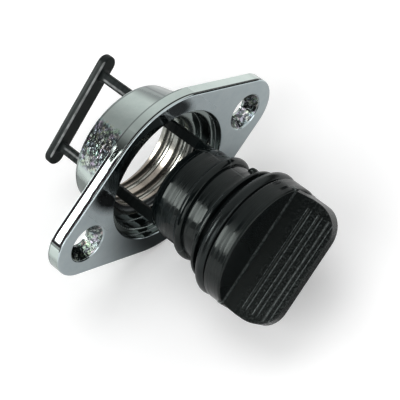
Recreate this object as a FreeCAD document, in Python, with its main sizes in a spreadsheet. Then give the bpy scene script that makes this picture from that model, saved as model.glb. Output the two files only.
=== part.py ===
import FreeCAD, Part
import math
import os
import Sketcher

# Scupper fitting: a small drain socket for a boat's transom with a captive screw plug.
# A chromed flange with two countersunk screw holes carries a conical collar. The collar's
# coarse thread takes a moulded plug with a rubber ring behind its head, and a cross bar on
# two legs keeps the plug from being lost when it is unscrewed.
#
# Frame: +Z up, the flange is upright. The origin is the middle of the flange's mounting
# face, between the two screws. +Y runs along the bore into the hull, X through the screws.
# The plug is drawn where it hangs when it is unscrewed, its nose in front of the flange.

V = FreeCAD.Vector
doc = FreeCAD.newDocument("scupper_fitting")
sizes = doc.addObject("Spreadsheet::Sheet", "sizes")

# Driving dimensions: lengths in millimetres, angles in degrees, from +X towards +Z
DIMENSIONS = [
    # flange and its screws
    ("hole_pitch", 50.0),
    ("screw_hole_r", 2.4),
    ("sink_r", 4.85),
    ("sink_edge", 0.2),
    ("flange_end_r", 8.3),
    ("hole_inset", 0.3),
    ("flange_land", 4.5),
    ("flange_thick", 3.25),
    ("flange_edge", 0.4),
    # stepped mouth, throat and threaded bore
    ("bore_r", 11.9),
    ("mouth_step", 1.7),
    ("ledge_depth", 1.7),
    ("recess_depth", 4.8),
    ("throat_round", 1.5),
    ("ledge_round", 0.5),
    ("mouth_edge", 0.25),
    ("corner_round", 0.4),
    ("thread_lead", 4.0),
    ("groove_section_r", 1.35),
    # collar behind the flange
    ("collar_len", 11.15),
    ("collar_wall", 2.25),
    ("collar_taper", 12.75),
    ("collar_rim", 0.7),
    ("collar_root", 0.9),
    ("bore_chamfer", 0.4),
    # running clearances
    ("core_gap", 0.45),
    ("ridge_gap", 0.15),
    ("lip_gap", 1.3),
    ("ring_side_gap", 1.25),
    ("ring_inset", 1.2),
    ("neck_gap", 0.2),
    ("ring_rest_gap", 0.15),
    ("seat_gap", 0.3),
    ("leg_gap", 0.95),
    ("leg_fit", 0.05),
    # plug, lengths counted from the end of its nose
    ("plug_out", 5.4),
    ("nose_taper_len", 2.3),
    ("nose_drop", 0.85),
    ("head_back", 20.6),
    ("head_thick", 4.6),
    ("head_r", 15.4),
    ("head_edge", 0.45),
    ("lip_thick", 0.85),
    ("lip_edge", 0.3),
    ("ridge_start", 7.27),
    ("ridge_clock", -4.27),
    ("ridge_turns", 1.11),
    # grip on the head
    ("grip_turn", 33.7),
    ("grip_len", 11.0),
    ("grip_side_step", 0.6),
    ("grip_root_half", 5.35),
    ("grip_tip_half", 1.3),
    ("grip_corner_r", 6.0),
    ("grip_side_in", 0.15),
    ("grip_edge", 0.35),
    ("rib_width", 0.9),
    ("rib_height", 0.4),
    ("rib_first", 4.45),
    ("rib_pitch", 2.52),
    ("rib_margin", 2.0),
    # sealing ring
    ("ring_section_r", 1.45),
    # retainer: cross bar and legs
    ("retainer_turn", 38.2),
    ("bar_stand_off", 14.6),
    ("bar_long", 29.4),
    ("bar_width", 4.5),
    ("bar_thick", 2.15),
    ("bar_edge", 0.5),
    ("leg_width", 2.35),
    ("leg_thick", 1.9),
    ("leg_edge", 0.3),
    ("leg_in", 4.5),
    ("leg_root", 0.9),
]
for row, (alias, value) in enumerate(DIMENSIONS, start=1):
    sizes.set("A%d" % row, alias)
    sizes.set("B%d" % row, str(value))
    sizes.setAlias("B%d" % row, alias)
doc.recompute()


def ex(text):
    """An expression with every size name written as a cell of the sheet."""
    for alias in sorted((a for a, _ in DIMENSIONS), key=len, reverse=True):
        text = text.replace("{" + alias + "}", "<<sizes>>." + alias)
    return text


def num(text):
    """The present value of such an expression."""
    value = sizes.evalExpression(ex(text))
    return float(getattr(value, "Value", value))


# Sizes that follow from the driving ones
FRONT = "(-{flange_thick})"
RING_R = "({head_r} - {ring_inset})"
MOUTH_R = "(%s + {ring_section_r} + {ring_side_gap})" % RING_R
RECESS_R = "(%s - {mouth_step})" % MOUTH_R
FLANGE_MID_R = "(%s + {flange_land})" % MOUTH_R
END_OFFSET = "({hole_pitch} / 2 + {hole_inset})"
COLLAR_END_R = "({bore_r} + {groove_section_r} + {collar_wall})"
COLLAR_BASE_R = "(%s + {collar_len} * tan({collar_taper} * 1 deg))" % COLLAR_END_R
CORE_R = "({bore_r} - {core_gap})"
LIP_R = "(%s - {lip_gap})" % RECESS_R
NECK_R = "(%s - {ring_section_r} - {neck_gap})" % RING_R
NOSE_Y = "(%s - {plug_out})" % FRONT
HEAD_Y = "(%s - {head_back})" % NOSE_Y
FACE_Y = "(%s - {head_thick})" % HEAD_Y
TIP_Y = "(%s - {grip_len})" % FACE_Y
RING_Y = "(%s + {ring_rest_gap} + {ring_section_r})" % HEAD_Y
# inward travel: the ring comes down on the rounded edge of the ledge in the mouth
SEAT_REACH = "({ring_section_r} + {ledge_round} + {seat_gap})"
SEAT_DROP = "sqrt(%s^2 - (%s + {ledge_round} - %s)^2)" % (SEAT_REACH, RECESS_R, RING_R)
TRAVEL_IN = "(%s + {ledge_depth} + {ledge_round} - %s - %s)" % (FRONT, SEAT_DROP, RING_Y)
# the throat's rounded edge, and the flare of the plug that closes on it
THROAT_ROUND = "min({throat_round}; 0.6 * (%s - {bore_r}))" % RECESS_R
THROAT_Y = "(%s + {recess_depth} + %s)" % (FRONT, THROAT_ROUND)
FLARE_Y = "(%s - %s)" % (THROAT_Y, TRAVEL_IN)
FLARE_ROUND = "min(%s + {core_gap}; 0.9 * (%s - %s))" % (THROAT_ROUND, LIP_R, CORE_R)
LIP_EDGE = "min({lip_edge}; 0.6 * (%s - %s - %s); 0.4 * {lip_thick})" % (LIP_R, CORE_R, FLARE_ROUND)
LIP_Y = "(%s - %s)" % (FLARE_Y, FLARE_ROUND)
GRIP_HALF = "({head_r} - {grip_side_step})"
BAR_Y = "({collar_len} + {bar_stand_off})"
LEG_MID = "({bore_r} - {leg_gap} - {leg_width} / 2)"


def plane(body, role):
    return [f for f in body.Origin.OriginFeatures if f.Role == role][0]


def place(sketch, offset=None, turn=None):
    """Moves a sketch along its own normal and turns it about the bore axis, from +X to +Z."""
    sketch.AttachmentOffset = FreeCAD.Placement(
        V(0, 0, num(offset) if offset else 0),
        FreeCAD.Rotation(V(0, -1, 0), num(turn) if turn else 0))
    if offset:
        sketch.setExpression("AttachmentOffset.Base.z", ex(offset))
    if turn:
        sketch.setExpression("AttachmentOffset.Rotation.Angle", ex("(%s) * 1 deg" % turn))


def new_sketch(body, name, role):
    sketch = body.newObject("Sketcher::SketchObject", name)
    sketch.AttachmentSupport = [(plane(body, role), "")]
    sketch.MapMode = "FlatFace"
    return sketch


def bind(sketch, constraint, name, text, unit="mm"):
    index = sketch.addConstraint(constraint)
    sketch.renameConstraint(index, name)
    sketch.setExpression("Constraints." + name, ex("(%s) * 1 %s" % (text, unit)))


def loop(sketch, tag, corners):
    """A closed outline. A corner is (x, y) or (x, y, cx, cy, r, way): then the side that
    starts there is an arc about cx, cy with radius r, anticlockwise for way 1. A half
    circle adds the word centre, and is held by its centre in place of its radius."""
    first = len(sketch.Geometry)
    count = len(corners)
    ends = []
    for i, corner in enumerate(corners):
        a = V(num(corner[0]), num(corner[1]), 0)
        after = corners[(i + 1) % count]
        b = V(num(after[0]), num(after[1]), 0)
        if len(corner) == 2:
            sketch.addGeometry(Part.LineSegment(a, b))
            ends.append((1, 2))
            continue
        c = V(num(corner[2]), num(corner[3]), 0)
        circle = Part.Circle(c, V(0, 0, 1), num(corner[4]))
        if corner[5] > 0:
            start, stop = a - c, b - c
            ends.append((1, 2))
        else:
            start, stop = b - c, a - c
            ends.append((2, 1))
        sketch.addGeometry(Part.ArcOfCircle(
            circle, math.atan2(start.y, start.x), math.atan2(stop.y, stop.x)))
    for i in range(count):
        j = (i + 1) % count
        sketch.addConstraint(Sketcher.Constraint(
            "Coincident", first + i, ends[i][1], first + j, ends[j][0]))
    for i, corner in enumerate(corners):
        at = ends[i][0]
        for kind, text in (("DistanceX", corner[0]), ("DistanceY", corner[1])):
            value = num(text)
            if abs(value) < 1e-9:
                axis = -2 if kind == "DistanceX" else -1
                sketch.addConstraint(Sketcher.Constraint("PointOnObject", first + i, at, axis))
            else:
                bind(sketch, Sketcher.Constraint(kind, -1, 1, first + i, at, value),
                     "%s%s%d" % (tag, kind[-1], i), text)
        if len(corner) == 6:
            bind(sketch, Sketcher.Constraint("Radius", first + i, num(corner[4])),
                 "%sR%d" % (tag, i), corner[4])
        elif len(corner) == 7:
            bind(sketch, Sketcher.Constraint("DistanceX", -1, 1, first + i, 3, num(corner[2])),
                 "%sC%d" % (tag, i), corner[2])


def revolve(body, name, sketch, cut=False):
    kind = "PartDesign::Groove" if cut else "PartDesign::Revolution"
    feature = body.newObject(kind, name)
    feature.Profile = sketch
    feature.ReferenceAxis = (sketch, ["V_Axis"])
    feature.Angle = 360
    doc.recompute()
    return feature


def pad(body, name, sketch, length, both=False, back=False):
    feature = body.newObject("PartDesign::Pad", name)
    feature.Profile = sketch
    feature.Length = num(length)
    feature.setExpression("Length", ex("(%s) * 1 mm" % length))
    if both:
        feature.SideType = "Symmetric"
    feature.Reversed = back
    doc.recompute()
    return feature


def edges(shape, test):
    """Names of the edges whose end points and middle all pass the test."""
    names = []
    for i, edge in enumerate(shape.Edges, start=1):
        low, high = edge.ParameterRange
        points = [edge.valueAt(low), edge.valueAt((low + high) / 2), edge.valueAt(high)]
        if all(test(p) for p in points):
            names.append("Edge%d" % i)
    return names


def ring_edges(shape, radius, y):
    """The circular edges about the bore axis at this radius and this place along it."""
    r, at = num(radius), num(y)
    found = edges(shape, lambda p: abs(math.hypot(p.x, p.z) - r) < 1e-3 and abs(p.y - at) < 1e-3)
    if not found:
        raise RuntimeError("no edge at radius %.3f, y %.3f" % (r, at))
    return found


def dress(body, name, kind, names, size):
    """A fillet or chamfer on the named edges of what the body holds so far."""
    base = body.Tip
    feature = body.newObject("PartDesign::" + kind, name)
    feature.Base = (base, names)
    prop = "Radius" if kind == "Fillet" else "Size"
    setattr(feature, prop, num(size))
    feature.setExpression(prop, ex("(%s) * 1 mm" % size))
    doc.recompute()
    return feature


def less(body, before, name):
    """A cut has to take material away."""
    if body.Shape.Volume >= before - 1e-3:
        raise RuntimeError(name + " cut nothing")


# Socket: one casting of flange, collar and threaded bore
socket = doc.addObject("PartDesign::Body", "socket")
socket.Label = "socket"
outline = new_sketch(socket, "flange_outline", "XZ_Plane")
mid_r, end_r, off = num(FLANGE_MID_R), num("{flange_end_r}"), num(END_OFFSET)
lean = math.asin((mid_r - end_r) / off)
upper = math.pi / 2 - lean
for middle in (0, math.pi):
    outline.addGeometry(Part.ArcOfCircle(
        Part.Circle(V(off * math.cos(middle), 0, 0), V(0, 0, 1), end_r),
        middle - upper, middle + upper))
for middle in (math.pi / 2, -math.pi / 2):
    outline.addGeometry(Part.ArcOfCircle(
        Part.Circle(V(0, 0, 0), V(0, 0, 1), mid_r), middle - lean, middle + lean))


def edge_point(centre, radius, angle):
    return V(centre + radius * math.cos(angle), radius * math.sin(angle), 0)


# straight flanks, tangent to the middle and to the ends, round the outline anticlockwise
flanks = [
    (edge_point(off, end_r, upper), edge_point(0, mid_r, upper)),
    (edge_point(0, mid_r, math.pi - upper), edge_point(-off, end_r, math.pi - upper)),
    (edge_point(-off, end_r, math.pi + upper), edge_point(0, mid_r, math.pi + upper)),
    (edge_point(0, mid_r, -upper), edge_point(off, end_r, -upper)),
]
for a, b in flanks:
    outline.addGeometry(Part.LineSegment(a, b))
for g1, p1, g2, p2 in ((0, 2, 4, 1), (4, 2, 2, 1), (2, 2, 5, 1), (5, 2, 1, 1),
                       (1, 2, 6, 1), (6, 2, 3, 1), (3, 2, 7, 1), (7, 2, 0, 1)):
    outline.addConstraint(Sketcher.Constraint("Tangent", g1, p1, g2, p2))
outline.addConstraint(Sketcher.Constraint("Coincident", 2, 3, -1, 1))
outline.addConstraint(Sketcher.Constraint("Coincident", 3, 3, -1, 1))
outline.addConstraint(Sketcher.Constraint("PointOnObject", 0, 3, -1))
outline.addConstraint(Sketcher.Constraint("PointOnObject", 1, 3, -1))
bind(outline, Sketcher.Constraint("DistanceX", -1, 1, 0, 3, off), "end_right", END_OFFSET)
bind(outline, Sketcher.Constraint("DistanceX", 1, 3, -1, 1, off), "end_left", END_OFFSET)
bind(outline, Sketcher.Constraint("Radius", 0, end_r), "end_radius_right", "{flange_end_r}")
bind(outline, Sketcher.Constraint("Radius", 1, end_r), "end_radius_left", "{flange_end_r}")
bind(outline, Sketcher.Constraint("Radius", 2, mid_r), "middle_radius_top", FLANGE_MID_R)
bind(outline, Sketcher.Constraint("Radius", 3, mid_r), "middle_radius_low", FLANGE_MID_R)
pad(socket, "flange", outline, "{flange_thick}")
front_edges = edges(socket.Shape, lambda p: abs(p.y - num(FRONT)) < 1e-4)
dress(socket, "flange_front_edge", "Fillet", front_edges, "{flange_edge}")

# conical collar that goes through the hull, its root blended into the mounting face
collar = new_sketch(socket, "collar_section", "XY_Plane")
loop(collar, "c", [
    ("0", "-{flange_thick} / 2"),
    (COLLAR_BASE_R, "-{flange_thick} / 2"),
    (COLLAR_BASE_R, "0"),
    (COLLAR_END_R, "{collar_len}"),
    ("0", "{collar_len}"),
])
revolve(socket, "collar", collar)
dress(socket, "collar_root_blend", "Fillet",
      ring_edges(socket.Shape, COLLAR_BASE_R, "0"), "{collar_root}")
dress(socket, "collar_back_rim", "Fillet",
      ring_edges(socket.Shape, COLLAR_END_R, "{collar_len}"), "{collar_rim}")

# stepped mouth, recess for the plug's lip, rounded throat and bore
funnel = new_sketch(socket, "mouth_section", "XY_Plane")
MOUTH_FLOOR = "(%s + {ledge_depth})" % FRONT
RECESS_FLOOR = "(%s + {recess_depth})" % FRONT
loop(funnel, "m", [
    ("0", "%s - 1" % FRONT),
    (MOUTH_R, "%s - 1" % FRONT),
    (MOUTH_R, MOUTH_FLOOR),
    (RECESS_R, MOUTH_FLOOR),
    (RECESS_R, RECESS_FLOOR),
    ("{bore_r}", RECESS_FLOOR),
    ("{bore_r}", "{collar_len} + 1"),
    ("0", "{collar_len} + 1"),
])
volume = socket.Shape.Volume
revolve(socket, "mouth_and_bore", funnel, cut=True)
less(socket, volume, "the mouth")
dress(socket, "throat_edge", "Fillet",
      ring_edges(socket.Shape, "{bore_r}", RECESS_FLOOR), THROAT_ROUND)
dress(socket, "ledge_edge", "Fillet",
      ring_edges(socket.Shape, RECESS_R, MOUTH_FLOOR), "{ledge_round}")
dress(socket, "inner_corners", "Fillet",
      ring_edges(socket.Shape, MOUTH_R, MOUTH_FLOOR)
      + ring_edges(socket.Shape, RECESS_R, RECESS_FLOOR),
      "min({corner_round}; 0.3 * (%s - {bore_r}))" % RECESS_R)
dress(socket, "mouth_rim", "Fillet",
      ring_edges(socket.Shape, MOUTH_R, FRONT), "{mouth_edge}")
dress(socket, "bore_back_edge", "Chamfer",
      ring_edges(socket.Shape, "{bore_r}", "{collar_len}"), "{bore_chamfer}")

# two screw holes, countersunk at 90 degrees from the front
holes = new_sketch(socket, "screw_holes", "XZ_Plane")
for i, sign in enumerate(("", "-")):
    x = num(sign + "{hole_pitch} / 2")
    holes.addGeometry(Part.Circle(V(x, 0, 0), V(0, 0, 1), num("{screw_hole_r}")))
    holes.addConstraint(Sketcher.Constraint("PointOnObject", i, 3, -1))
    bind(holes, Sketcher.Constraint("DistanceX", -1, 1, i, 3, x), "hole_x%d" % i,
         sign + "{hole_pitch} / 2")
    bind(holes, Sketcher.Constraint("Radius", i, num("{screw_hole_r}")), "hole_r%d" % i,
         "{screw_hole_r}")
volume = socket.Shape.Volume
drill = socket.newObject("PartDesign::Pocket", "screw_holes_through")
drill.Profile = holes
drill.Type = "ThroughAll"
drill.SideType = "Symmetric"
doc.recompute()
less(socket, volume, "the screw holes")
hole_rims = edges(socket.Shape, lambda p: abs(p.y - num(FRONT)) < 1e-4 and abs(
    math.hypot(abs(p.x) - num("{hole_pitch} / 2"), p.z) - num("{screw_hole_r}")) < 1e-3)
dress(socket, "countersinks", "Chamfer", hole_rims, "{sink_r} - {screw_hole_r}")
sink_rims = edges(socket.Shape, lambda p: abs(p.y - num(FRONT)) < 1e-4 and abs(
    math.hypot(abs(p.x) - num("{hole_pitch} / 2"), p.z) - num("{sink_r}")) < 1e-3)
dress(socket, "countersink_rims", "Fillet", sink_rims,
      "min({sink_edge}; 0.3 * ({flange_end_r} - {sink_r}))")

# Thread groove: right-handed, of rounded section, cut right through the bore. It lies on
# the same helix as the plug's ridge, so the plug stays in step all the way in and out.
RIDGE_AT_X = "(%s - {ridge_start} + {thread_lead} * {ridge_clock} / 360)" % NOSE_Y
STEPS = "floor((%s - 1.2 * {groove_section_r} - %s) / {thread_lead})" % (RECESS_FLOOR, RIDGE_AT_X)
GROOVE_Y = "(%s + {thread_lead} * %s)" % (RIDGE_AT_X, STEPS)
groove = new_sketch(socket, "groove_section", "XY_Plane")
groove.addGeometry(Part.Circle(
    V(num("{bore_r}"), num(GROOVE_Y), 0), V(0, 0, 1), num("{groove_section_r}")))
bind(groove, Sketcher.Constraint("DistanceX", -1, 1, 0, 3, num("{bore_r}")), "groove_x", "{bore_r}")
bind(groove, Sketcher.Constraint("DistanceY", -1, 1, 0, 3, num(GROOVE_Y)), "groove_y", GROOVE_Y)
bind(groove, Sketcher.Constraint("Radius", 0, num("{groove_section_r}")), "groove_r",
     "{groove_section_r}")
volume = socket.Shape.Volume
thread = socket.newObject("PartDesign::SubtractiveHelix", "thread_groove")
thread.Profile = groove
thread.ReferenceAxis = (groove, ["V_Axis"])
thread.Mode = "pitch-height-angle"
thread.Angle = 0
thread.Pitch = num("{thread_lead}")
thread.setExpression("Pitch", ex("{thread_lead} * 1 mm"))
RUN = "({collar_len} + 1.3 * {groove_section_r} - %s)" % GROOVE_Y
thread.Height = num(RUN)
thread.setExpression("Height", ex("%s * 1 mm" % RUN))
doc.recompute()
less(socket, volume, "the thread groove")

# Plug: one moulding of nose, core, thread ridge, flare and lip, neck, head and grip
plug = doc.addObject("PartDesign::Body", "plug")
plug.Label = "plug"
stem = new_sketch(plug, "plug_section", "XY_Plane")
LIP_END_Y = "(%s - {lip_thick})" % LIP_Y
loop(stem, "p", [
    ("0", NOSE_Y),
    ("0", FACE_Y),
    ("{head_r}", FACE_Y),
    ("{head_r}", HEAD_Y),
    (NECK_R, HEAD_Y),
    (NECK_R, LIP_END_Y),
    (LIP_R, LIP_END_Y),
    (LIP_R, LIP_Y),
    ("%s + %s" % (CORE_R, FLARE_ROUND), LIP_Y,
     "%s + %s" % (CORE_R, FLARE_ROUND), FLARE_Y, FLARE_ROUND, -1),
    (CORE_R, FLARE_Y),
    (CORE_R, "%s - {nose_taper_len}" % NOSE_Y),
    ("%s - {nose_drop}" % CORE_R, NOSE_Y),
])
revolve(plug, "turned_form", stem)
dress(plug, "head_rim", "Fillet",
      ring_edges(plug.Shape, "{head_r}", FACE_Y) + ring_edges(plug.Shape, "{head_r}", HEAD_Y),
      "{head_edge}")
dress(plug, "lip_rim", "Fillet",
      ring_edges(plug.Shape, LIP_R, LIP_END_Y) + ring_edges(plug.Shape, LIP_R, LIP_Y),
      LIP_EDGE)

# grip: a wedge across the head, thick at its root, with rounded upper corners
wedge = new_sketch(plug, "grip_wedge", "XY_Plane")
place(wedge, turn="{grip_turn} + 90")
loop(wedge, "w", [
    ("{grip_root_half}", "%s + 1" % FACE_Y),
    ("{grip_root_half}", FACE_Y),
    ("{grip_tip_half}", TIP_Y),
    ("-{grip_tip_half}", TIP_Y),
    ("-{grip_root_half}", FACE_Y),
    ("-{grip_root_half}", "%s + 1" % FACE_Y),
])
pad(plug, "grip", wedge, "2 * " + GRIP_HALF, both=True)
turn = math.radians(num("{grip_turn}"))
ALONG = V(math.cos(turn), 0, math.sin(turn))
ACROSS = V(-math.sin(turn), 0, math.cos(turn))
corner_edges = edges(plug.Shape, lambda p: abs(p.y - num(TIP_Y)) < 1e-4 and abs(
    abs(p.dot(ALONG)) - num(GRIP_HALF)) < 1e-4)
dress(plug, "grip_corners", "Fillet", corner_edges, "{grip_corner_r}")


def on_broad_face(p):
    """Whether a point lies on one of the grip's two broad faces, clear of the head."""
    reach = (p.y - num(FACE_Y)) / (num(TIP_Y) - num(FACE_Y))
    half = num("{grip_root_half}") + reach * (num("{grip_tip_half}") - num("{grip_root_half}"))
    return reach > -1e-6 and abs(abs(p.dot(ACROSS)) - half) < 1e-4


# the rim of both broad faces, except where they meet the head
rim_edges = edges(plug.Shape, on_broad_face)
root_lines = edges(plug.Shape, lambda p: on_broad_face(p) and abs(p.y - num(FACE_Y)) < 1e-4)
dress(plug, "grip_rims", "Fillet", [e for e in rim_edges if e not in root_lines],
      "min({grip_edge}; 0.4 * {grip_tip_half})")

# the grip's sides are trimmed just inside the head's rim
trim = new_sketch(plug, "grip_side_trim", "XY_Plane")
loop(trim, "t", [
    ("{head_r} - {grip_side_in}", "%s - 1" % TIP_Y),
    ("{head_r} + 3", "%s - 1" % TIP_Y),
    ("{head_r} + 3", FACE_Y),
    ("{head_r} - {grip_side_in}", FACE_Y),
])
revolve(plug, "grip_sides", trim, cut=True)

# three half-round ribs across each broad face of the grip, short of its side edges
rib_sketch = new_sketch(plug, "rib_sections", "XY_Plane")
place(rib_sketch, turn="{grip_turn} + 90")
SLANT = "sqrt(({grip_root_half} - {grip_tip_half})^2 + {grip_len}^2)"
UX = "(({grip_tip_half} - {grip_root_half}) / %s)" % SLANT
UY = "(-{grip_len} / %s)" % SLANT
RIB_SIDE = "({rib_height} - {rib_width} / 2)"
RIB_FOOT = "({rib_height} - {rib_width} / 2 - 0.4)"
for side in (1, -1):
    for k in range(3):
        corners = []
        for along, height in ((-0.5, RIB_FOOT), (0.5, RIB_FOOT), (0.5, RIB_SIDE),
                              (-0.5, RIB_SIDE), (0, RIB_SIDE)):
            run = "({rib_first} + %d * {rib_pitch} + %s * {rib_width})" % (k, along)
            x = "({grip_root_half} + %s * %s - (%s) * %s)" % (run, UX, height, UY)
            y = "(%s + %s * %s + (%s) * %s)" % (FACE_Y, run, UY, height, UX)
            corners.append((x if side > 0 else "-" + x, y))
        crown = corners.pop()
        corners[2] += crown + ("{rib_width} / 2", side, "centre")
        loop(rib_sketch, "rib%s%d" % ("a" if side > 0 else "b", k), corners)
pad(plug, "ribs", rib_sketch, "2 * (%s - {rib_margin})" % GRIP_HALF, both=True)

# thread ridge: one start, a little over one turn, half-round on the core
RIDGE_END = "({ridge_clock} + 360 * {ridge_turns})"
RIDGE_R = "({groove_section_r} - {ridge_gap})"
ridge = new_sketch(plug, "ridge_section", "XY_Plane")
place(ridge, turn=RIDGE_END)
RIDGE_END_Y = "(%s - {ridge_start} - {thread_lead} * {ridge_turns})" % NOSE_Y
loop(ridge, "r", [
    (CORE_R + " - 0.5", "%s - %s" % (RIDGE_END_Y, RIDGE_R)),
    (CORE_R, "%s - %s" % (RIDGE_END_Y, RIDGE_R), CORE_R, RIDGE_END_Y, RIDGE_R, 1, "centre"),
    (CORE_R, "%s + %s" % (RIDGE_END_Y, RIDGE_R)),
    (CORE_R + " - 0.5", "%s + %s" % (RIDGE_END_Y, RIDGE_R)),
])
worm = plug.newObject("PartDesign::AdditiveHelix", "thread_ridge")
worm.Profile = ridge
worm.ReferenceAxis = (ridge, ["V_Axis"])
worm.Mode = "pitch-turns-angle"
worm.Angle = 0
worm.Pitch = num("{thread_lead}")
worm.setExpression("Pitch", ex("{thread_lead} * 1 mm"))
worm.Turns = num("{ridge_turns}")
worm.setExpression("Turns", ex("{ridge_turns}"))
doc.recompute()
# both ends of the ridge are rounded off
cap_edges = []
for clock, y in (("{ridge_clock}", "%s - {ridge_start}" % NOSE_Y), (RIDGE_END, RIDGE_END_Y)):
    at = math.radians(num(clock))
    tip = V(num(CORE_R) * math.cos(at), num(y), num(CORE_R) * math.sin(at))
    radial = V(math.cos(at), 0, math.sin(at))
    side = V(-math.sin(at), 0, math.cos(at))
    cap_edges += edges(plug.Shape, lambda p: abs((p - tip).Length - num(RIDGE_R)) < 1e-3
                       and abs(p.dot(side)) < 1e-3 and p.dot(radial) > num(CORE_R) - 0.2)
dress(plug, "ridge_ends", "Fillet", cap_edges, "0.5 * %s" % RIDGE_R)

# two pockets in the nose that hold the retainer's legs
pockets = new_sketch(plug, "leg_pockets", "XZ_Plane")


def place_flat(sketch, y):
    """Puts an upright sketch at this place along the bore and turns it by the retainer's clock."""
    sketch.AttachmentOffset = FreeCAD.Placement(
        V(0, 0, -num(y)), FreeCAD.Rotation(V(0, 0, 1), num("{retainer_turn}")))
    sketch.setExpression("AttachmentOffset.Base.z", ex("-(%s) * 1 mm" % y))
    sketch.setExpression("AttachmentOffset.Rotation.Angle", ex("{retainer_turn} * 1 deg"))


def leg_pair(sketch, extra):
    for tag, sign in (("a", ""), ("b", "-")):
        inner = "(%s - {leg_width} / 2 - %s)" % (LEG_MID, extra)
        outer = "(%s + {leg_width} / 2 + %s)" % (LEG_MID, extra)
        half = "({leg_thick} / 2 + %s)" % extra
        loop(sketch, tag, [(sign + inner, "-" + half), (sign + outer, "-" + half),
                           (sign + outer, half), (sign + inner, half)])


place_flat(pockets, NOSE_Y)
leg_pair(pockets, "{leg_fit}")
volume = plug.Shape.Volume
slots = plug.newObject("PartDesign::Pocket", "leg_pockets_cut")
slots.Profile = pockets
slots.Reversed = True
slots.Length = num("{leg_in} + {leg_fit}")
slots.setExpression("Length", ex("({leg_in} + {leg_fit}) * 1 mm"))
doc.recompute()
less(plug, volume, "the leg pockets")

# Retainer: a cross bar longer than the bore, on two legs that clip into the nose
retainer = doc.addObject("PartDesign::Body", "retainer")
retainer.Label = "retainer"
bar_sketch = new_sketch(retainer, "bar_outline", "XZ_Plane")
place_flat(bar_sketch, BAR_Y)
END = "({bar_long} / 2 - {bar_width} / 2)"
loop(bar_sketch, "b", [
    ("-" + END, "-{bar_width} / 2"),
    (END, "-{bar_width} / 2", END, "0", "{bar_width} / 2", 1, "centre"),
    (END, "{bar_width} / 2"),
    ("-" + END, "{bar_width} / 2", "-" + END, "0", "{bar_width} / 2", 1, "centre"),
])
pad(retainer, "bar", bar_sketch, "{bar_thick}", back=True)
long_edges = edges(retainer.Shape, lambda p: abs(p.y - num(BAR_Y)) < 1e-4) + edges(
    retainer.Shape, lambda p: abs(p.y - num(BAR_Y + " + {bar_thick}")) < 1e-4)
dress(retainer, "bar_edges", "Fillet", long_edges, "min({bar_edge}; 0.4 * {bar_thick})")
leg_sketch = new_sketch(retainer, "leg_sections", "XZ_Plane")
place_flat(leg_sketch, BAR_Y)
leg_pair(leg_sketch, "0")
pad(retainer, "legs", leg_sketch, "%s - %s + {leg_in}" % (BAR_Y, NOSE_Y))
rt = math.radians(num("{retainer_turn}"))
ALONG_LEG = V(math.cos(rt), 0, math.sin(rt))
ACROSS_LEG = V(-math.sin(rt), 0, math.cos(rt))
long_edges = edges(retainer.Shape, lambda p: abs(abs(p.dot(ACROSS_LEG)) - num("{leg_thick} / 2"))
                   < 1e-4 and abs(abs(abs(p.dot(ALONG_LEG)) - num(LEG_MID)) - num("{leg_width} / 2"))
                   < 1e-4)
dress(retainer, "leg_edges", "Fillet", long_edges, "min({leg_edge}; 0.3 * {leg_thick})")
root_edges = edges(retainer.Shape, lambda p: abs(p.y - num(BAR_Y)) < 1e-4
                   and abs(p.dot(ACROSS_LEG)) < num("{leg_thick} / 2") + 1e-3)
dress(retainer, "leg_roots", "Fillet", root_edges, "min({leg_root}; 0.35 * ({bar_long} / 2"
      " - %s - {leg_width} / 2); 0.8 * (({bar_width} - {leg_thick}) / 2 - {bar_edge}))" % LEG_MID)

# Sealing ring on the neck, resting against the back of the head
o_ring = doc.addObject("PartDesign::Body", "o_ring")
o_ring.Label = "o_ring"
section = new_sketch(o_ring, "ring_section", "XY_Plane")
section.addGeometry(Part.Circle(
    V(num(RING_R), num(RING_Y), 0), V(0, 0, 1), num("{ring_section_r}")))
bind(section, Sketcher.Constraint("DistanceX", -1, 1, 0, 3, num(RING_R)), "ring_x", RING_R)
bind(section, Sketcher.Constraint("DistanceY", -1, 1, 0, 3, num(RING_Y)), "ring_y", RING_Y)
bind(section, Sketcher.Constraint("Radius", 0, num("{ring_section_r}")), "ring_r",
     "{ring_section_r}")
revolve(o_ring, "ring", section)

# Every object has to be sound before anything is written
doc.recompute()
for item in doc.Objects:
    if "Invalid" in item.State or "Error" in item.State:
        raise RuntimeError("%s failed: %s" % (item.Name, item.State))
os.makedirs("parts", exist_ok=True)
for piece in (socket, plug, retainer, o_ring):
    shape = piece.Shape
    if shape.isNull() or not shape.isValid() or len(shape.Solids) != 1:
        raise RuntimeError("%s is not one valid solid" % piece.Label)
    print("%-9s volume %.1f mm3, faces %d" % (piece.Label, shape.Volume, len(shape.Faces)))
for piece in (socket, plug, retainer, o_ring):
    piece.Shape.exportStep("parts/%s.step" % piece.Label)
print("travel in %.3f mm, bar to collar %.3f mm" % (num(TRAVEL_IN), num("{bar_stand_off}")))
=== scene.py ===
import math

import bpy
from mathutils import Matrix, Vector


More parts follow.
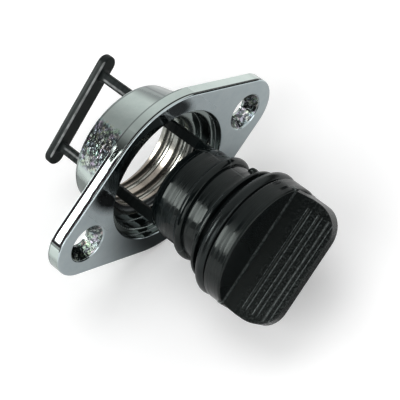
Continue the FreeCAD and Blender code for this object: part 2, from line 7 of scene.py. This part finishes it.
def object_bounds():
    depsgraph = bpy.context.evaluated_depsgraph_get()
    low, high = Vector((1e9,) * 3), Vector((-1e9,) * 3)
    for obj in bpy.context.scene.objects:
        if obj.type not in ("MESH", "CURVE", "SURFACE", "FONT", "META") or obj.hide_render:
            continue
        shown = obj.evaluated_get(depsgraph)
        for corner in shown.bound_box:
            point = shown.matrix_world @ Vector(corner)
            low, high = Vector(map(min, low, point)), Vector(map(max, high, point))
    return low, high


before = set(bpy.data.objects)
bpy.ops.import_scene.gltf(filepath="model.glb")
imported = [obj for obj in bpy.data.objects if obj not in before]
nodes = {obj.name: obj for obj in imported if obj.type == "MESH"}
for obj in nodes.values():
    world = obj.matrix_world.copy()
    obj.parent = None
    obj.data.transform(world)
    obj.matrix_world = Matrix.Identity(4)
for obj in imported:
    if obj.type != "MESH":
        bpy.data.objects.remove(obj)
cad_low, cad_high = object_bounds()
scene = bpy.context.scene
scene.view_settings.view_transform = "Standard"


def put(name, data):
    """A new object in the scene."""
    thing = bpy.data.objects.new(name, data)
    scene.collection.objects.link(thing)
    return thing


# Camera: where it stands, where it looks and how it leans, in metres in the part's frame -----

EYE = Vector((-0.11377, -0.15022, 0.23566))
RIGHT = Vector((0.7001, -0.7100, -0.0752))
UP = Vector((0.6016, 0.5298, 0.5978))
LOOK = Vector((0.3846, 0.4638, -0.7981))
SENSOR_MM = 36.0
LENS_MM = 119.67

camera_data = bpy.data.cameras.new("camera")
camera_data.sensor_width = SENSOR_MM
camera_data.lens = LENS_MM
camera_data.clip_start = 0.01
camera_data.clip_end = 20.0
camera = put("camera", camera_data)
turn = Matrix((RIGHT, UP, -LOOK)).transposed()
camera.matrix_world = Matrix.Translation(EYE) @ turn.to_4x4()
scene.camera = camera


# Shader nodes --------------------------------------------------------------------------------

LINE_CORE = 0.3      # the share of a line's half width that has its full strength
MIDDLE = (0.3, 0.7)  # where nearly all the values of a noise lie


class Graph:
    """The nodes of one material or of the world.

    A value is a plain number or colour, or the output of another node of the graph. A mask
    is a value from 0 to 1.
    """

    def __init__(self, owner):
        owner.use_nodes = True
        self.tree = owner.node_tree
        self.tree.nodes.clear()

    def feed(self, socket, value):
        if isinstance(value, bpy.types.NodeSocket):
            self.tree.links.new(value, socket)
        else:
            socket.default_value = value

    def node(self, kind, inputs=None, **settings):
        """A node with its settings and its inputs."""
        made = self.tree.nodes.new(kind)
        for key, value in settings.items():
            setattr(made, key, value)
        for key, value in (inputs or {}).items():
            self.feed(made.inputs[key], value)
        return made

    def maths(self, how, a, b=0.0, c=0.0):
        return self.node("ShaderNodeMath", {0: a, 1: b, 2: c}, operation=how).outputs[0]

    def chain(self, how, first, *others):
        for other in others:
            first = self.maths(how, first, other)
        return first

    def total(self, *values):
        return self.chain("ADD", *values)

    def product(self, *values):
        return self.chain("MULTIPLY", *values)

    def most(self, *values):
        return self.chain("MAXIMUM", *values)

    def less(self, a, b):
        return self.maths("SUBTRACT", a, b)

    def size(self, value):
        return self.maths("ABSOLUTE", value)

    def distance(self, a, b):
        return self.maths("SQRT", self.total(self.product(a, a), self.product(b, b)))

    def length(self, vector):
        return self.node("ShaderNodeVectorMath", {0: vector}, operation="LENGTH").outputs[1]

    def spread(self, value, low, high, to_low, to_high, smooth=False):
        """The value carried over from the range low..high to to_low..to_high."""
        how = "SMOOTHSTEP" if smooth else "LINEAR"
        return self.node("ShaderNodeMapRange", {
            "Value": value, "From Min": low, "From Max": high, "To Min": to_low,
            "To Max": to_high}, interpolation_type=how).outputs[0]

    def rise(self, value, start, stop, top=1.0):
        """A mask that rises from 0 to its top between two places."""
        return self.spread(value, start, stop, 0.0, top, True)

    def fall(self, value, start, stop, top=1.0):
        """A mask that falls from its top to 0 between two places."""
        return self.spread(value, start, stop, top, 0.0, True)

    def line(self, value, centre, half):
        """A mask for a thin line where the value is at its centre."""
        return self.fall(self.size(self.less(value, centre)), half * LINE_CORE, half)

    def mixed(self, mask, a, b):
        """A colour between two."""
        return self.node("ShaderNodeMix", {0: mask, 6: a, 7: b}, data_type="RGBA").outputs[2]

    def place(self):
        """The place on the object, in metres."""
        return self.node("ShaderNodeTexCoord").outputs["Object"]

    def split(self, vector):
        parts = self.node("ShaderNodeSeparateXYZ", {0: vector})
        return parts.outputs[0], parts.outputs[1], parts.outputs[2]

    def noise(self, place, scale, detail=2.0, rough=0.5, stretch=None):
        if stretch:
            place = self.node("ShaderNodeMapping", {"Vector": place, "Scale": stretch}).outputs[0]
        return self.node("ShaderNodeTexNoise", {
            "Vector": place, "Scale": scale, "Detail": detail, "Roughness": rough}).outputs["Fac"]

    def clouded(self, noise, darker, lighter):
        """A colour that goes with a noise from a darker to a lighter tone."""
        return self.mixed(self.spread(noise, *MIDDLE, 0.0, 1.0), darker, lighter)

    def bump(self, height, distance, below=None):
        inputs = {"Height": height, "Distance": distance, "Strength": 1.0}
        if below is not None:
            inputs["Normal"] = below
        return self.node("ShaderNodeBump", inputs).outputs[0]

    def turned(self, x, z, degrees):
        """The places along and across a direction that is turned about the bore's axis."""
        cos, sin = math.cos(math.radians(degrees)), math.sin(math.radians(degrees))
        along = self.total(self.product(x, cos), self.product(z, sin))
        return along, self.less(self.product(z, cos), self.product(x, sin))


def surface(name, constants):
    """A material with a Principled shader. The constants go on the shader's own sockets."""
    made = bpy.data.materials.new(name)
    graph = Graph(made)
    out = graph.node("ShaderNodeOutputMaterial")
    shader = graph.node("ShaderNodeBsdfPrincipled", constants)
    graph.feed(out.inputs["Surface"], shader.outputs["BSDF"])
    return made, graph, shader


# Chrome plate --------------------------------------------------------------------------------

# Colours. A pair is a darker and a lighter tone, in clouds.
# FACE_PLATE and BODY_PLATE hold a painted reflection tint: bluish on the face, greener behind it
FACE_PLATE = ((0.432, 0.500, 0.520, 1), (0.478, 0.540, 0.556, 1))
BODY_PLATE = ((0.432, 0.503, 0.478, 1), (0.478, 0.545, 0.515, 1))
BRASS = (0.42, 0.375, 0.32, 1)
# the tone of the painted shade, and of the painted dark reflections along the flange's edge
PAINTED_SHADE_PLATE = (0.06, 0.07, 0.075, 1)
PAINTED_DARK_EDGE = (0.008, 0.006, 0.008, 1)

# How far the screws are to the left and right of the bore's axis, in metres
SCREW_X = 0.025

# Soft borders on the socket, in metres: between which two places a mask rises or falls.
# Y grows from the flange's front face at -0.003 over its back at 0 to the collar's end.
# RADIUS is the distance from the bore's axis and AROUND the one from the nearer screw's.
FACE_Y = (-0.0031, -0.0029)
BACK_Y = (-0.00008, -0.00003)
COLLAR_FOOT_Y = (0.0004, 0.0016)
COLLAR_RADIUS = (0.0142, 0.0150)
SINK_AROUND = (0.0046, 0.0049)
SINK_FOOT_Y = (-0.0006, -0.0003)
BORE_RADIUS = (0.0128, 0.0138)
BORE_START_Y = (-0.0020, -0.0005)
LEDGE_RADIUS = (0.0126, 0.0132)
MOUTH_RADIUS = (0.0168, 0.0171)
MOUTH_FOOT_Y = (-0.0002, 0.0002)
THROAT_RADIUS = (0.0158, 0.0164)
THROAT_FOOT_Y = (0.0026, 0.0032)
EDGE_RADIUS = (0.0172, 0.0176)
EDGE_AROUND = (0.0052, 0.0056)
EDGE_STRAIGHT_X = (0.0312, 0.0322)
EDGE_LEFT_X = (-0.0130, -0.0095)
EDGE_END_Z = (0.0040, 0.0045)
BACK_BAND_Y = (-0.00084, -0.00070)
CONTACT_SHADOW_X = (0.0085, 0.0100)
TOP_X, TOP_Z = (-0.0020, 0.0030), (0.0100, 0.0140)
RIGHT_X, RIGHT_Z = (0.0030, 0.0062), (0.0100, 0.0130)
# The throat's foot lies this much further back for each metre to the left
THROAT_SLANT = 0.10

# Thin lines on the socket, in metres: where they are and their half width
STEP_EDGES_Y = ((-0.0015, 0.00020), (0.0016, 0.00020))
GROOVE_RADIUS = (0.0125, 0.00050)
FRONT_LINE_Y = (-0.00268, 0.00030)
WIDE_LINE_Y = (-0.00224, 0.00062)
END_LINE_X = (-0.03155, 0.00040)
CONTACT_SHADOW_Y = (-0.0001, 0.00032)
COLLAR_END_Y = (0.0105, 0.00045)
COLLAR_STREAK_X = (0.0078, 0.00075)

# The rough patch lies this way from the bore's axis, to the upper left. It begins where
# the cosine of the angle to it is this large, give or take its ragged edge.
PATCH_WAY = (-0.669, 0.743)
PATCH_COSINE = (0.945, 0.985)
PATCH_RAGGED = 0.05

# Noises: how many to a metre, detail and roughness. The pits have only the first.
RAGGED = (600.0, 3.0, 0.6)
SKIN = (1250.0, 3.0, 0.65)
PITS = 900.0
WAVES = (260.0, 2.0, 0.45)
PLATE_CLOUDS = (420.0, 4.0, 0.6)
POLISH = (1500.0, 2.0, 0.5)
WOBBLE = (330.0, 2.0, 0.5)

# Heights of the bumps, and how far a noise moves the brass's border and a line, in metres
SKIN_BUMP = 0.00011
WAVES_BUMP = 0.000012
BRASS_UNEVEN_Z = 0.006
WOBBLE_Y = 0.0007

# How strong the marks are, from 0 to 1
COLLAR_SKIN = 0.12
PIT_DEPTH = 0.6
PAINTED_GLINTS = 0.17
# the strengths of the painted shade
MOUTH_SHADE, STEP_EDGE_LESS = 0.94, 0.50
GROOVE_SHADE = 0.8
TOP_SHADE, RIGHT_SHADE, STREAK_SHADE, COLLAR_END_SHADE = 0.20, 0.67, 0.85, 0.6
CONTACT_SHADOW_STRENGTH = 0.6

# How a value is carried over: from where to where, and what it is before and after that
BRASS_LOW = (-0.010, 0.004, 1.0, 0.12)
# the next carries the skin's noise into the painted shade in its hollows
SHADED_HOLLOWS = (0.44, 0.58, 0.97, 0.10)
POLISHED = (*MIDDLE, 0.018, 0.05)

# What the marks add to the roughness
CAST_ROUGH, BORE_ROUGH, OUTLINE_ROUGH = 0.05, 0.25, 0.45


def chrome():
    """Polished plate with cast skin and thin places, painted glints, painted shade and painted
    dark reflections along its edges.
    """
    made, g, shader = surface("chrome_plate", {"Metallic": 1.0})
    place = g.place()
    x, y, z = g.split(place)
    radius = g.distance(x, z)
    around = g.distance(g.less(g.size(x), SCREW_X), z)
    off_face = g.rise(y, *FACE_Y)
    off_back = g.fall(y, *BACK_Y)
    outside = g.rise(radius, *COLLAR_RADIUS)
    collar = g.product(g.rise(y, *COLLAR_FOOT_Y), outside)
    sink = g.product(g.fall(around, *SINK_AROUND), off_face, g.fall(y, *SINK_FOOT_Y))
    inside = g.product(g.fall(radius, *BORE_RADIUS), g.rise(y, *BORE_START_Y))

    # the casting's rough skin: a ragged patch on the collar, and the countersinks
    that_way = g.total(g.product(x, PATCH_WAY[0]), g.product(z, PATCH_WAY[1]))
    lean = g.maths("DIVIDE", that_way, radius)
    ragged = g.product(g.noise(place, *RAGGED), PATCH_RAGGED)
    patch = g.product(collar, g.rise(g.total(lean, ragged), *PATCH_COSINE))
    rough = g.most(patch, sink)
    cast = g.most(g.product(collar, COLLAR_SKIN), rough)
    skin = g.noise(place, *SKIN)
    cells = g.node("ShaderNodeTexVoronoi", {"Vector": place, "Scale": PITS})
    pits, painted_glint_colours = cells.outputs["Distance"], cells.outputs["Color"]
    relief = g.product(g.total(skin, g.product(pits, PIT_DEPTH)), cast)
    waves = g.bump(g.noise(place, *WAVES), WAVES_BUMP)
    g.feed(shader.inputs["Normal"], g.bump(relief, SKIN_BUMP, waves))

    # the plate is slightly bluish on the flange's face and slightly greener behind it, a painted
    # reflection tint
    cloud = g.noise(place, *PLATE_CLOUDS)
    plate = g.mixed(off_face, g.clouded(cloud, *FACE_PLATE), g.clouded(cloud, *BODY_PLATE))
    # inside the bore it is thin, so the brass shows through it low down
    height = g.total(z, g.product(cloud, BRASS_UNEVEN_Z))
    thin = g.spread(height, *BRASS_LOW, True)
    plate = g.mixed(g.product(inside, thin), plate, BRASS)
    # painted glints in faint colours on the grains of the rough skin, and painted shade in its
    # hollows
    plate = g.mixed(g.product(rough, PAINTED_GLINTS), plate, painted_glint_colours)
    shaded_hollows = g.product(rough, g.spread(skin, *SHADED_HOLLOWS, True))

    # painted shade on the mouth's steps and the throat behind them, less of it along their edges
    steps = g.product(g.rise(radius, *LEDGE_RADIUS), g.fall(radius, *MOUTH_RADIUS),
                      off_face, g.fall(y, *MOUTH_FOOT_Y))
    slant = g.total(y, g.product(x, THROAT_SLANT))
    throat = g.product(g.fall(radius, *THROAT_RADIUS), off_face, g.fall(slant, *THROAT_FOOT_Y))
    step_edges = g.most(*[g.line(y, *edge) for edge in STEP_EDGES_Y])
    mouth = g.product(g.most(steps, throat),
                      g.less(MOUTH_SHADE, g.product(step_edges, STEP_EDGE_LESS)))
    # painted shade along the groove of the bore's thread
    groove = g.product(inside, g.line(radius, *GROOVE_RADIUS), GROOVE_SHADE)

    # painted shade on the collar: on top, most on its right side, and along its end
    top = g.product(collar, g.fall(x, *TOP_X, TOP_SHADE), g.rise(z, *TOP_Z))
    streak = g.product(g.line(x, *COLLAR_STREAK_X), STREAK_SHADE)
    right = g.product(collar, g.most(g.rise(x, *RIGHT_X, RIGHT_SHADE), streak),
                      g.rise(z, *RIGHT_Z))
    collar_end = g.product(outside, g.line(y, *COLLAR_END_Y), COLLAR_END_SHADE)

    # a painted contact shadow where the flange's back edge meets the collar in the view from the
    # front
    edge = g.rise(radius, *EDGE_RADIUS)
    painted_contact_shadow = g.product(g.line(y, *CONTACT_SHADOW_Y), edge, g.fall(x, *CONTACT_SHADOW_X, CONTACT_SHADOW_STRENGTH))

    # painted dark reflections in lines along the flange's edge, wider and uneven on its left side
    left = g.fall(x, *EDGE_LEFT_X)
    wobble = g.product(g.noise(place, *WOBBLE), WOBBLE_Y)
    wide = g.product(g.line(g.total(y, wobble), *WIDE_LINE_Y), left, off_face)
    back_band = g.product(g.rise(y, *BACK_BAND_Y), off_back, left)
    straight = g.product(g.fall(g.size(x), *EDGE_STRAIGHT_X), edge, g.rise(around, *EDGE_AROUND))
    rims = g.product(straight, g.most(back_band, wide, g.line(y, *FRONT_LINE_Y)))
    left_end = g.product(g.line(x, *END_LINE_X), g.rise(z, *EDGE_END_Z), off_face, off_back)
    painted_edge_lines = g.most(rims, left_end)

    # all the painted shade goes into the plate's colour
    painted_shade = g.most(shaded_hollows, mouth, groove, top, right, painted_contact_shadow, collar_end)
    plate = g.mixed(painted_shade, plate, PAINTED_SHADE_PLATE)
    g.feed(shader.inputs["Base Color"], g.mixed(painted_edge_lines, plate, PAINTED_DARK_EDGE))
    g.feed(shader.inputs["Roughness"], g.total(
        g.spread(g.noise(place, *POLISH), *POLISHED), g.product(cast, CAST_ROUGH),
        g.product(inside, BORE_ROUGH), g.product(painted_edge_lines, OUTLINE_ROUGH)))
    return made


# Black nylon ---------------------------------------------------------------------------------

NYLON = ((0.0022, 0.0034, 0.0036, 1), (0.0046, 0.0064, 0.0068, 1))
GRIP_NYLON = (0.0008, 0.0012, 0.0012, 1)
SPARKS = (0.040, 0.046, 0.045, 1)
# the colours of the painted highlights on the grip and on the retainer
PAINTED_RIB_HIGHLIGHT = (0.085, 0.095, 0.095, 1)
PAINTED_HIGHLIGHT_LINE = (0.33, 0.34, 0.34, 1)

# The grip: its turn about the bore's axis in degrees, then borders and lines in metres, as
# on the socket. ACROSS and ENDS are measured across and along the grip.
GRIP_TURN = 33.7
GRIP_Y = (-0.0343, -0.0338)
GRIP_ROOT_Y = (-0.0344, -0.0340)
GRIP_ROOT_ACROSS = (0.00535, 0.00028)
RIB_ENDS = (0.0120, 0.0130)
# The ribs' middles, how far their two feet are from them, and the half width of the marks
RIBS_Y = (-0.03830, -0.04082, -0.04334)
RIB_FOOT = 0.00042
RIB_FOOT_HALF = 0.00016

# The retainer: its bar's turn about the bore's axis in degrees, then borders and lines in
# metres. The edge is a place of Y less the place across the bar, the lines are along the
# bar, and the top is across it.
BAR_TURN = 38.2
BAR_FRONT_Y = (0.0250, 0.0252)
BAR_EDGE = (0.02385, 0.02393)
LEG_LINES = ((0.0093, 0.00036), (-0.0095, 0.00036))
LEG_TOP = (0.00085, 0.00092)
LEG_START_Y = (0.0100, 0.0110)
LEG_END_Y = (0.0240, 0.0250)
RETAINER_Y = (-0.0060, -0.0055)
BAR_Y = (0.0252, 0.0258)

# Noises: how many to a metre, detail and roughness. The rings are stretched.
NYLON_CLOUDS = (380.0, 4.0, 0.6)
SPARK_GRAIN = (2100.0, 1.0, 0.5)
HIGHLIGHT_GRAIN = (1900.0, 2.0, 0.5)
LINE_GRAIN = (700.0, 2.0, 0.5)
RINGS = (1.0, 2.0, 0.5, (40.0, 1300.0, 40.0))
GRAIN = (2600.0, 2.0, 0.6)

# Heights of the bumps, in metres
RINGS_BUMP = 0.00002
GRAIN_BUMP = 0.00006

# How strong the marks are, from 0 to 1
GRIP_BLACK = 0.75
ROOT_HIGHLIGHT = 0.7
LEG_HIGHLIGHT = 0.7

# How a value is carried over: from where to where, and what it is before and after that
SPARK_SHARE = (0.50, 0.68, 0.0, 0.27)
SPARK_FADE_Y = (-0.0392, -0.0350, 1.0, 0.10)
HIGHLIGHT_SHARE = (0.36, 0.62, 0.25, 1.0)
LINE_SHARE = (0.35, 0.6, 0.45, 1.0)
RING_ROUGH = (0.46, 0.60, 0.07, 0.30)
GRAIN_ROUGH = (*MIDDLE, 0.20, 0.27)
GRAIN_ON_GRIP = (0.0, 1.0, 0.10, 1.0)
RETAINER_ROUGH, BAR_LESS_ROUGH = 0.50, 0.18


def nylon():
    """Moulded nylon with turned rings, a blacker, grainy grip, and painted highlight lines."""
    made, g, shader = surface("black_nylon", {
        "Metallic": 0.0, "IOR": 1.5, "Specular IOR Level": 0.22,
        "Specular Tint": (0.90, 1.0, 0.95, 1)})
    place = g.place()
    x, y, z = g.split(place)
    tone = g.clouded(g.noise(place, *NYLON_CLOUDS), *NYLON)

    # the grip is blacker, with a spark grain that is stronger near the ribs
    grip = g.fall(y, *GRIP_Y)
    tone = g.mixed(g.product(grip, GRIP_BLACK), tone, GRIP_NYLON)
    sparks = g.product(g.spread(g.noise(place, *SPARK_GRAIN), *SPARK_SHARE), grip,
                       g.spread(y, *SPARK_FADE_Y, True))
    tone = g.mixed(sparks, tone, SPARKS)

    # painted highlights: along the feet of the ribs and the line where the grip rises from the
    # head
    along, across = g.turned(x, z, GRIP_TURN)
    feet = [rib + side * RIB_FOOT for rib in RIBS_Y for side in (-1, 1)]
    rib_foot_highlights = g.product(g.most(*[g.line(y, foot, RIB_FOOT_HALF) for foot in feet]),
                     g.fall(g.size(along), *RIB_ENDS))
    root = g.product(g.line(g.size(across), *GRIP_ROOT_ACROSS),
                     g.rise(y, *GRIP_ROOT_Y, ROOT_HIGHLIGHT))
    painted_rub_highlights = g.product(g.most(rib_foot_highlights, root), g.spread(g.noise(place, *HIGHLIGHT_GRAIN), *HIGHLIGHT_SHARE))
    tone = g.mixed(painted_rub_highlights, tone, PAINTED_RIB_HIGHLIGHT)

    # painted highlights along the bar's eased edge and along the legs behind the collar
    bar_along, bar_across = g.turned(x, z, BAR_TURN)
    eased = g.product(g.fall(g.less(y, bar_across), *BAR_EDGE), g.rise(y, *BAR_FRONT_Y))
    legs = g.product(g.most(*[g.line(bar_along, *leg) for leg in LEG_LINES]),
                     g.rise(bar_across, *LEG_TOP, LEG_HIGHLIGHT),
                     g.rise(y, *LEG_START_Y), g.fall(y, *LEG_END_Y))
    painted_edge_highlights = g.product(g.most(eased, legs), g.spread(g.noise(place, *LINE_GRAIN), *LINE_SHARE))
    g.feed(shader.inputs["Base Color"], g.mixed(painted_edge_highlights, tone, PAINTED_HIGHLIGHT_LINE))

    # rings left by the turned mould on the round parts, and a fine grain on the grip
    rings = g.noise(place, *RINGS)
    grain = g.noise(place, *GRAIN)
    ringed = g.product(g.less(1.0, grip), g.spread(rings, *RING_ROUGH, True))
    grained = g.product(grip, g.spread(grain, *GRAIN_ROUGH))
    # the retainer is duller, its bar a little less so
    retainer = g.less(g.rise(y, *RETAINER_Y, RETAINER_ROUGH), g.rise(y, *BAR_Y, BAR_LESS_ROUGH))
    g.feed(shader.inputs["Roughness"], g.total(retainer, grained, ringed))
    fine = g.product(grain, g.spread(grip, *GRAIN_ON_GRIP))
    g.feed(shader.inputs["Normal"], g.bump(fine, GRAIN_BUMP, g.bump(rings, RINGS_BUMP)))
    return made


# Black rubber --------------------------------------------------------------------------------

RUBBER = ((0.0034, 0.0042, 0.0044, 1), (0.0062, 0.0072, 0.0074, 1))
RUBBER_CLOUDS = (500.0, 3.0, 0.6)
RUBBER_GRAIN = (3000.0, 2.0, 0.6)
RUBBER_ROUGH = (*MIDDLE, 0.20, 0.28)
RUBBER_BUMP = 0.00001


def rubber():
    """Smooth moulded rubber with a fine grain."""
    made, g, shader = surface("black_rubber", {
        "Metallic": 0.0, "IOR": 1.5, "Specular IOR Level": 0.26,
        "Specular Tint": (0.86, 1.0, 0.98, 1)})
    place = g.place()
    g.feed(shader.inputs["Base Color"], g.clouded(g.noise(place, *RUBBER_CLOUDS), *RUBBER))
    grain = g.noise(place, *RUBBER_GRAIN)
    g.feed(shader.inputs["Roughness"], g.spread(grain, *RUBBER_ROUGH))
    g.feed(shader.inputs["Normal"], g.bump(grain, RUBBER_BUMP))
    return made


def dress(node, made):
    """Gives a CAD node its material."""
    data = nodes[node].data
    data.materials.clear()
    data.materials.append(made)


plastic = nylon()
dress("socket", chrome())
dress("plug", plastic)
dress("retainer", plastic)
dress("o_ring", rubber())


# Floor and world -----------------------------------------------------------------------------

WHITE = (1, 1, 1, 1)
PAPER = (0.92, 0.92, 0.92, 1)
FLOOR_HALF = 1.5
# How much the paper is lifted under the part, beside it and, on top of that, far off, and
# how far from the part's middle each begins and ends, in metres
LIFT, LIFT_BESIDE, LIFT_FAR = 0.20, 0.34, 0.34
BESIDE = (0.030, 0.075)
FAR = (0.10, 0.55)
# The light that the world gives, its tone in gloss on the left, and where that goes over
# into white, from -1 on the left to 1 on the right
FILL = 0.45
CEILING = 0.60
CEILING_X = (-0.05, 0.50)


def quad(name, half_width, half_height, z=0.0):
    """A flat rectangle."""
    w, h = half_width, half_height
    data = bpy.data.meshes.new(name)
    data.from_pydata([(-w, -h, z), (w, -h, z), (w, h, z), (-w, h, z)], [], [(0, 1, 2, 3)])
    return data


def seen(g):
    """1 for what the camera, a mirror or glass sees, 0 for the light that a thing gives."""
    path = g.node("ShaderNodeLightPath").outputs
    return g.most(path["Is Camera Ray"], path["Is Glossy Ray"], path["Is Transmission Ray"])


def paper():
    """Pale paper. Far off, where the lamps reach less, it is lifted more, into the white."""
    made = bpy.data.materials.new("paper")
    g = Graph(made)
    out = g.node("ShaderNodeOutputMaterial")
    diffuse = g.node("ShaderNodeBsdfDiffuse", {"Color": PAPER})
    far = g.length(g.place())
    lifts = g.total(g.spread(far, *BESIDE, LIFT, LIFT_BESIDE, True),
                    g.rise(far, *FAR, LIFT_FAR))
    lift = g.node("ShaderNodeEmission", {"Color": WHITE, "Strength": g.product(seen(g), lifts)})
    both = g.node("ShaderNodeAddShader", {0: diffuse.outputs[0], 1: lift.outputs[0]})
    g.feed(out.inputs["Surface"], both.outputs[0])
    return made


def studio():
    """A world that is white for the camera, and in gloss greyer on the left than on the right."""
    made = bpy.data.worlds.new("studio")
    g = Graph(made)
    out = g.node("ShaderNodeOutputWorld")
    sideways = g.split(g.node("ShaderNodeTexCoord").outputs["Generated"])[0]
    ceiling = g.spread(sideways, *CEILING_X, CEILING, 1.0, True)
    path = g.node("ShaderNodeLightPath").outputs
    in_gloss = g.product(path["Is Glossy Ray"], g.less(1.0, path["Is Camera Ray"]))
    white = g.total(g.product(in_gloss, ceiling), g.less(1.0, in_gloss))
    shown = seen(g)
    strength = g.total(g.product(shown, white), g.product(g.less(1.0, shown), FILL))
    back = g.node("ShaderNodeBackground", {"Color": WHITE, "Strength": strength})
    g.feed(out.inputs["Surface"], back.outputs[0])
    return made


floor_z = cad_low[2]
floor = put("floor", quad("floor", FLOOR_HALF, FLOOR_HALF, floor_z))
floor.data.materials.append(paper())
scene.world = studio()


# Lamps and cards -----------------------------------------------------------------------------

# What the lamps and cards face
AIM = Vector((0.0, -0.014, 0.0))

# Lamps: name, azimuth, elevation and distance, width, height, radiance, whether gloss
# mirrors it, and whether it lights what isn't glossy
LAMPS = (
    ("key", (-53.0, 32.0, 0.6), 0.25, 0.36, 9.5, True, False),
    ("side", (-100.0, 42.0, 0.7), 0.4, 0.4, 3.6, False, True),
    ("overhead", (-20.0, 78.0, 0.8), 0.45, 0.45, 2.7, False, True),
)
# Cards: name, azimuth, elevation and distance, width, height, tones at its two edges
CARDS = (
    ("card_right", (100.0, 6.0, 0.45), 0.62, 0.17, (0.04, 0.04)),
    ("card_front", (-112.0, 51.0, 0.5), 0.9, 0.29, (0.05, 0.05)),
    ("card_left", (-86.0, 21.0, 0.5), 0.32, 0.42, (0.03, 0.03)),
    ("reflector", (-126.0, 24.0, 0.5), 0.25, 0.25, (3.2, 3.2)),
    ("window", (-174.0, 21.0, 0.5), 0.38, 0.17, (2.8, 2.8)),
    ("card_back", (-17.0, 13.0, 0.55), 0.38, 0.27, (0.35, 0.05)),
    ("card_above", (-33.0, 54.0, 0.5), 0.17, 0.20, (0.50, 0.02)),
)
# Veils just over the floor, which darken it only where gloss mirrors it, as painted shade: a
# painted contact shadow round the part and past the plug's tip, and spots beside the mouth and at
# the side that paint the plug's shadow and reflection. For each: name, x, y and height over the
# floor, width, height, strength of the core and of the skirt, half sizes of the core
VEILS = (
    ("shade", (0.004, -0.006, 0.0004), 0.17, 0.17, (0.95, 0.32), (0.026, 0.014)),
    ("shade_back", (-0.025, 0.030, 0.0006), 0.06, 0.04, (0.45, 0.0), (0.026, 0.014)),
    ("shade_tip", (0.010, -0.056, 0.0006), 0.06, 0.04, (0.7, 0.0), (0.026, 0.014)),
    ("shade_mouth", (-0.0045, -0.0225, 0.0006), 0.014, 0.014, (0.97, 0.0), (0.0055, 0.0055)),
    ("shade_side", (0.0268, -0.0300, 0.0006), 0.014, 0.014, (0.92, 0.0), (0.0052, 0.0042)),
)
# A veil's core fades between these shares of its half sizes, its skirt at these distances
VEIL_CORE = (0.42, 1.06)
VEIL_SKIRT = (0.062, 0.084)
BLACK = (0.0, 0.0)


def stand(azimuth, elevation, distance):
    """The place of something that stands round the part and faces it.

    The azimuth goes from +Y towards +X and the elevation up from the floor, in degrees.
    """
    a, e = math.radians(azimuth), math.radians(elevation)
    towards = Vector((math.sin(a) * math.cos(e), math.cos(a) * math.cos(e), math.sin(e)))
    turned = towards.to_track_quat("Z", "Y").to_matrix().to_4x4()
    return Matrix.Translation(AIM + towards * distance) @ turned


def softbox(name, place, width, height, radiance, in_gloss, lights):
    """A lamp that gloss mirrors, or that lights what isn't glossy, or both."""
    data = bpy.data.lights.new(name, "AREA")
    data.shape = "RECTANGLE"
    data.size = width
    data.size_y = height
    data.energy = radiance * math.pi * width * height
    lamp = put(name, data)
    lamp.matrix_world = place
    lamp.visible_glossy = in_gloss
    lamp.visible_diffuse = lights


def card(name, place, width, height, tones, veil=None, core_half=None):
    """A card that only gloss mirrors, as a studio sets up round polished metal.

    Its tone runs from its left to its right edge. A veil is a card of painted shade that thins
    out from its middle, with a strength for its core and one for the skirt round it.
    """
    w, h = width / 2, height / 2
    made = bpy.data.materials.new(name)
    g = Graph(made)
    out = g.node("ShaderNodeOutputMaterial")
    spot = g.place()
    tone = g.spread(g.split(spot)[0], -w, w, *tones, True)
    shown = g.node("ShaderNodeEmission", {"Color": WHITE, "Strength": tone})
    if veil:
        core, skirt = veil
        squeeze = (1 / core_half[0], 1 / core_half[1], 0)
        squeezed = g.node("ShaderNodeMapping", {"Vector": spot, "Scale": squeeze}).outputs[0]
        cover = g.total(g.fall(g.length(squeezed), *VEIL_CORE, core - skirt),
                        g.fall(g.length(spot), *VEIL_SKIRT, skirt))
        clear = g.node("ShaderNodeBsdfTransparent")
        shown = g.node("ShaderNodeMixShader", {0: cover, 1: clear.outputs[0],
                                               2: shown.outputs[0]})
    g.feed(out.inputs["Surface"], shown.outputs[0])
    data = quad(name, w, h)
    data.materials.append(made)
    thing = put(name, data)
    thing.matrix_world = place
    thing.visible_camera = False
    thing.visible_diffuse = False
    thing.visible_transmission = False
    thing.visible_shadow = False


for name, (azimuth, elevation, distance), width, height, radiance, in_gloss, lights in LAMPS:
    softbox(name, stand(azimuth, elevation, distance), width, height, radiance, in_gloss, lights)
for name, (azimuth, elevation, distance), width, height, tones in CARDS:
    card(name, stand(azimuth, elevation, distance), width, height, tones)
for name, (x, y, over), width, height, veil, core_half in VEILS:
    place = Matrix.Translation((x, y, floor_z + over))
    card(name, place, width, height, BLACK, veil, core_half)
